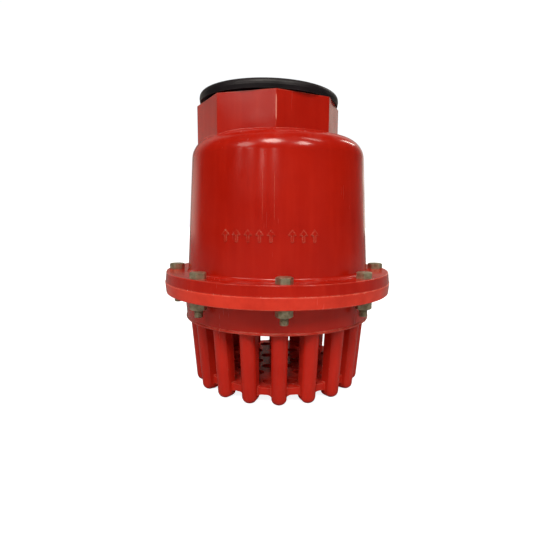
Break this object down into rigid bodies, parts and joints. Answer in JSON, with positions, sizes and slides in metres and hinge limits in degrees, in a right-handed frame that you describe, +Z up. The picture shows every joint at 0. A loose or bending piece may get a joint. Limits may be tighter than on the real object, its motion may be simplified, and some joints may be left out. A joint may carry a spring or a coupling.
{
  "type": "foot valve",
  "caption": "Plastic suction foot valve: bell casing with an off-centre octagonal threaded collar, bolted flange, swinging rubber flap, barred strainer basket and push-in cap.",
  "frame": {"origin": "middle of the strainer's feet, on the surface that they stand on, under the flange's axis", "axes": "+Z up along the flange's axis towards the pipe socket, -Y the front, where one flange bolt and one corner of the collar stand, +X the side of the flap's hinge; the collar stands 7 mm towards -X"},
  "size_m": [0.17, 0.17, 0.213],
  "materials": {
    "red_plastic": "glossy injection-moulded red polypropylene",
    "black_plastic": "satin black polyethylene",
    "black_rubber": "dull black sheet rubber",
    "plate_steel": "zinc-plated stamped plate",
    "zinc_steel": "dulled yellow-olive zinc passivation"
  },
  "bodies": {
    "casing": {"valve_body": "red_plastic", "strainer_head": "red_plastic", "strainer_bars": "red_plastic", "strainer_base": "red_plastic", "gasket_ring": "black_rubber", "hinge_web": "black_rubber", "flange_bolt_1": "zinc_steel", "flange_nut_1": "zinc_steel", "flange_bolt_2": "zinc_steel", "flange_nut_2": "zinc_steel", "flange_bolt_3": "zinc_steel", "flange_nut_3": "zinc_steel", "flange_bolt_4": "zinc_steel", "flange_nut_4": "zinc_steel", "flange_bolt_5": "zinc_steel", "flange_nut_5": "zinc_steel", "flange_bolt_6": "zinc_steel", "flange_nut_6": "zinc_steel", "flange_bolt_7": "zinc_steel", "flange_nut_7": "zinc_steel", "flange_bolt_8": "zinc_steel", "flange_nut_8": "zinc_steel"},
    "flap": {"flap_rubber": "black_rubber", "flap_weight": "plate_steel", "flap_guard": "plate_steel", "flap_bolt": "zinc_steel", "flap_spring_washer": "zinc_steel", "flap_nut": "zinc_steel"},
    "cap": {"socket_cap": "black_plastic"}
  },
  "joints": [
    {"name": "flap_swing", "type": "hinge", "parent": "casing", "child": "flap", "pos_m": [0.0445, 0, 0.0768], "axis": [0, 1, 0], "range_deg": [0, 75], "deforming": ["hinge_web"]},
    {"name": "cap_lift", "type": "slide", "parent": "casing", "child": "cap", "axis": [0, 0, 1], "range_m": [0, 0.15]}
  ]
}
